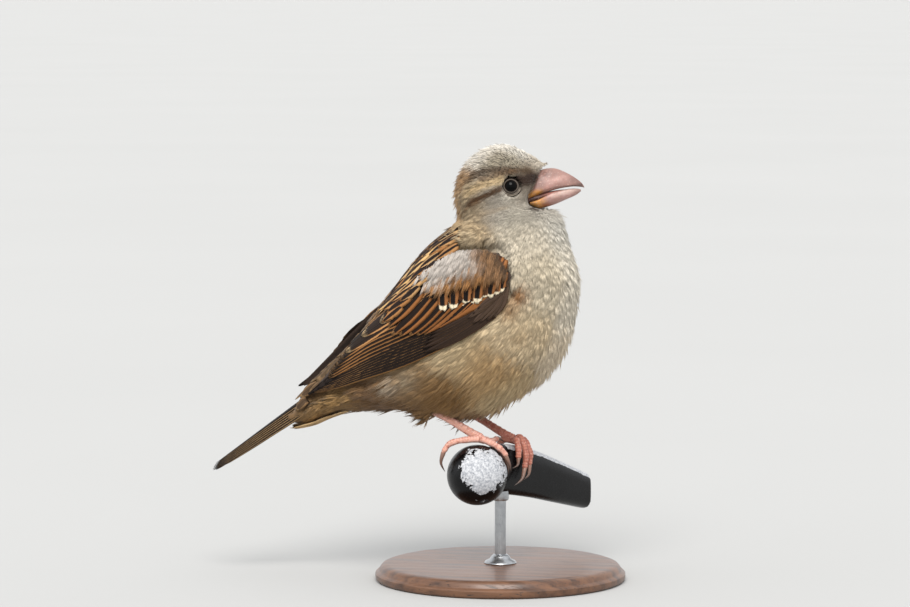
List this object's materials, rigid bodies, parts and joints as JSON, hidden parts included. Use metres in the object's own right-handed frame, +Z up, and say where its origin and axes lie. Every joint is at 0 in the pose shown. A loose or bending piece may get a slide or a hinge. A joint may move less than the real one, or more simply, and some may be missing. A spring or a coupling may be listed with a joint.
{
  "type": "house sparrow",
  "caption": "Life-size house sparrow, streaked brown above and buff below, gripping the ball end of a short black lever on a round display stand.",
  "frame": {"origin": "centre of the display base's underside, on the surface the model stands on", "axes": "+X the way the bird's body faces, +Y its left side, +Z up"},
  "size_m": [0.1274, 0.076, 0.1322],
  "materials": {
    "body_feather": "soft matt contour feathers, buff below and streaked brown above",
    "wing_feather": "matt to satin flight feathers, dark brown with buff and rufous edges",
    "bill_horn": "satin horn, pinkish grey with a yellow gape",
    "eye": "wet gloss, very dark brown",
    "leg_skin": "scaled pink skin with a slight sheen",
    "claw_horn": "satin dark horn",
    "lever_paint": "black gloss paint, worn to bare metal on the ball and the top edge",
    "stand_wood": "dark stained wood, satin varnish",
    "stand_steel": "brushed steel rod"
  },
  "bodies": {
    "root": {"bill_lower": "bill_horn", "bill_upper": "bill_horn", "claw_left_1": "claw_horn", "claw_left_2": "claw_horn", "claw_left_3": "claw_horn", "claw_left_4": "claw_horn", "claw_right_1": "claw_horn", "claw_right_2": "claw_horn", "claw_right_3": "claw_horn", "claw_right_4": "claw_horn", "eye_left": "eye", "eye_right": "eye", "foot_left": "leg_skin", "foot_right": "leg_skin", "head": "body_feather", "neck": "body_feather", "perch_lever": "lever_paint", "shank_left": "leg_skin", "shank_right": "leg_skin", "stand_base": "stand_wood", "stand_rod": "stand_steel", "tail": "wing_feather", "tail_coverts": "body_feather", "thigh_left": "body_feather", "thigh_right": "body_feather", "trunk": "body_feather", "wing_left_coverts": "wing_feather", "wing_left_primaries": "wing_feather", "wing_left_secondaries": "wing_feather", "wing_right_coverts": "wing_feather", "wing_right_primaries": "wing_feather", "wing_right_secondaries": "wing_feather"}
  },
  "joints": []
}
